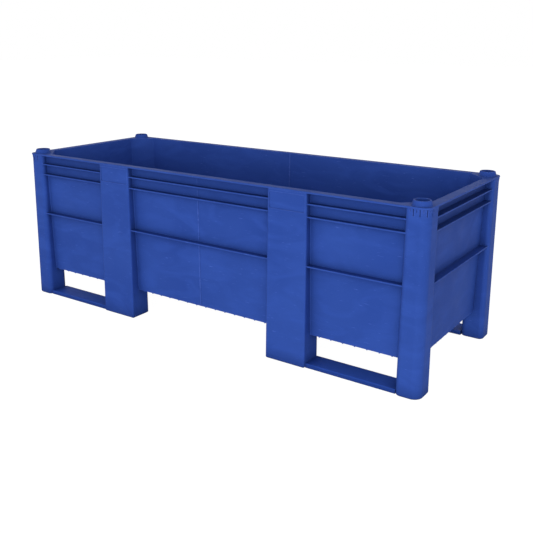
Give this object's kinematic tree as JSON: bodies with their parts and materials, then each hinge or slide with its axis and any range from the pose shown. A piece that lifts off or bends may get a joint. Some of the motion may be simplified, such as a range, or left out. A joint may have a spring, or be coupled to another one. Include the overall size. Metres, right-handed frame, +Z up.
{
  "type": "long pallet box",
  "caption": "Long moulded plastic pallet box: smooth open tub, corner posts with stacking lugs, wide mid-posts as legs, flat rim, fork openings and runners.",
  "frame": {"origin": "on the floor, under the middle of the box", "axes": "+X along the length, +Y to the back long side, +Z up"},
  "size_m": [2.125, 0.805, 0.747],
  "materials": {
    "shell_plastic": "moulded polyethylene, deep blue, dull sheen with faint flow marks and scuffs",
    "runner_plastic": "moulded polyethylene, deep blue, dull and lightly scuffed"
  },
  "bodies": {
    "root": {"right_half_shell": "shell_plastic", "left_half_shell": "shell_plastic", "front_left_runner": "runner_plastic", "front_right_runner": "runner_plastic", "back_left_runner": "runner_plastic", "back_right_runner": "runner_plastic"}
  },
  "joints": []
}
